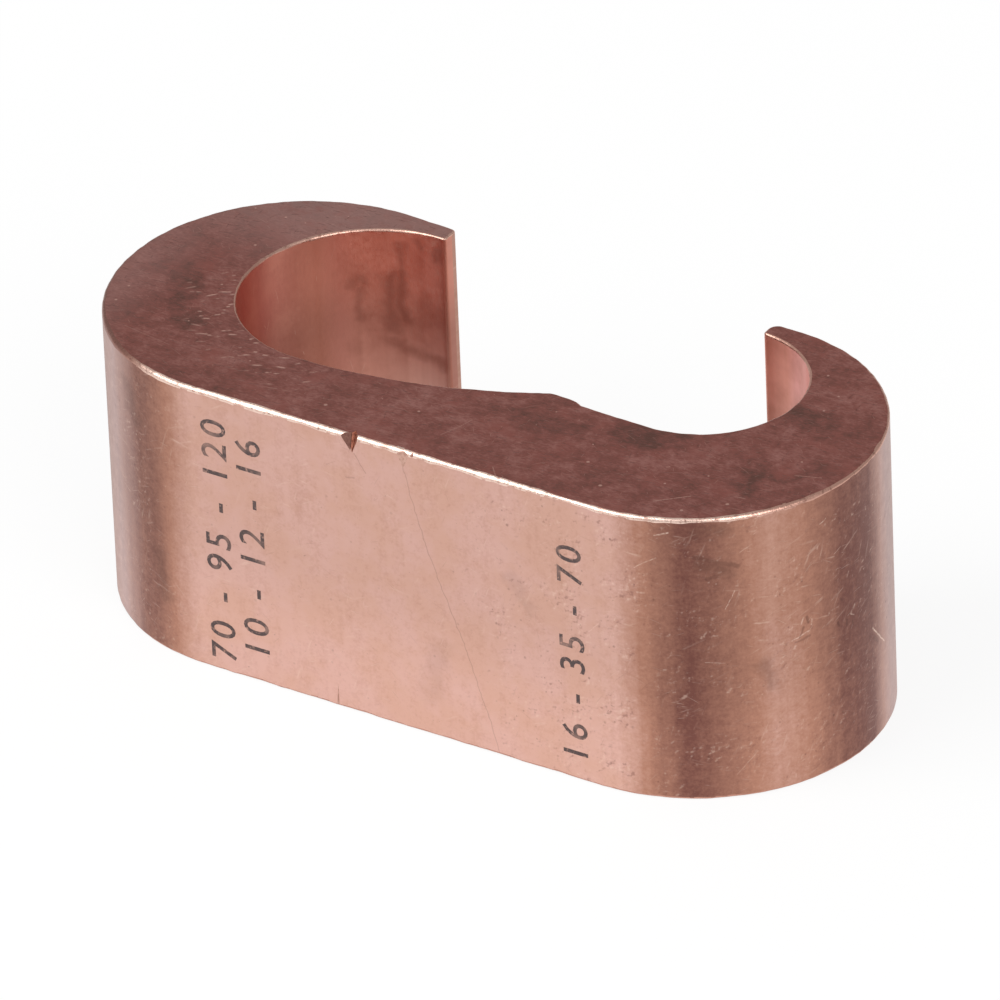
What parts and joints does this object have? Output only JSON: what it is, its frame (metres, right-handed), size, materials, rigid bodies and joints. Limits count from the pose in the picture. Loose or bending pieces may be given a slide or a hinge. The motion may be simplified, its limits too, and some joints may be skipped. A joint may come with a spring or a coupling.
{
  "type": "compression grounding connector",
  "caption": "E-shaped copper compression connector, one sawn extrusion with a large and a small open groove that joins a ground rod to a stranded conductor.",
  "frame": {"origin": "middle of the bounding box, on the lower sawn end", "axes": "+X runs along the length, from the large groove to the small one; +Y is the side that both grooves open to; +Z runs along the extrusion, away from the lower sawn end"},
  "size_m": [0.0508, 0.0232, 0.0192],
  "materials": {
    "copper": "satin extruded copper, matt brown on the sawn ends"
  },
  "bodies": {
    "root": {"connector_body": "copper"}
  },
  "joints": []
}
